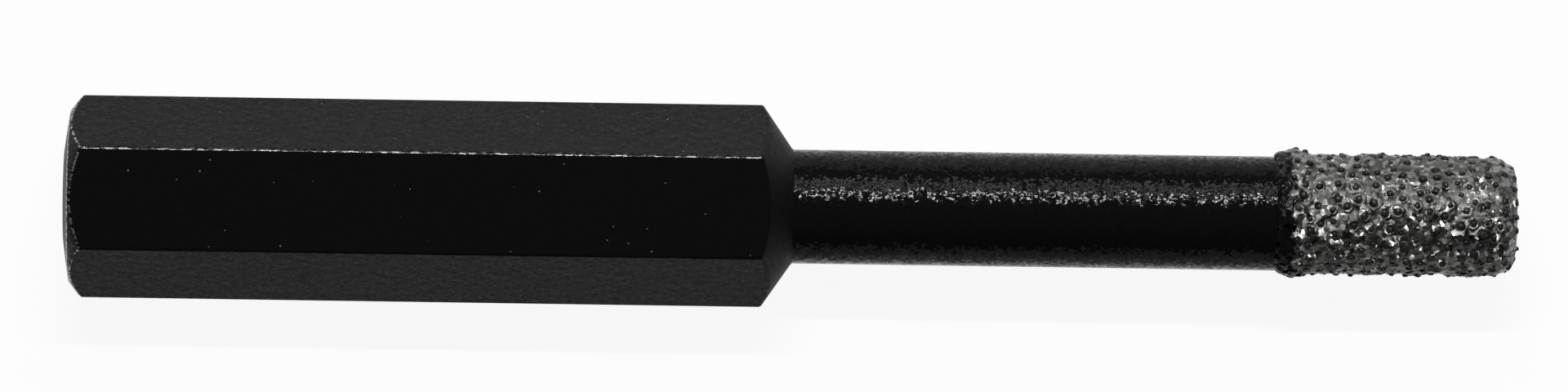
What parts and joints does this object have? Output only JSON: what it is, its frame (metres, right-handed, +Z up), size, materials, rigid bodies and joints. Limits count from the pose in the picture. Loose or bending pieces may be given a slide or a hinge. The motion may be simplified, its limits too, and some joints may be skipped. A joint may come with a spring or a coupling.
{
  "type": "glass and tile drill bit",
  "caption": "Dry diamond core bit for glass and tile: black hex shank, short cone shoulder, round hollow stem and a crown coated with brazed diamond grit.",
  "frame": {"origin": "on the plane of the hex flat that the bit lies on, below the middle of its length", "axes": "+X along the bit's axis towards the diamond crown, +Z up, across the hex flats"},
  "size_m": [0.0701, 0.0098, 0.0085],
  "materials": {
    "black_coated_steel": "satin",
    "braze_alloy": "satin",
    "diamond": "gloss"
  },
  "bodies": {
    "root": {"bit_body": "black_coated_steel", "braze_layer": "braze_alloy", "diamond_grit": "diamond"}
  },
  "joints": []
}
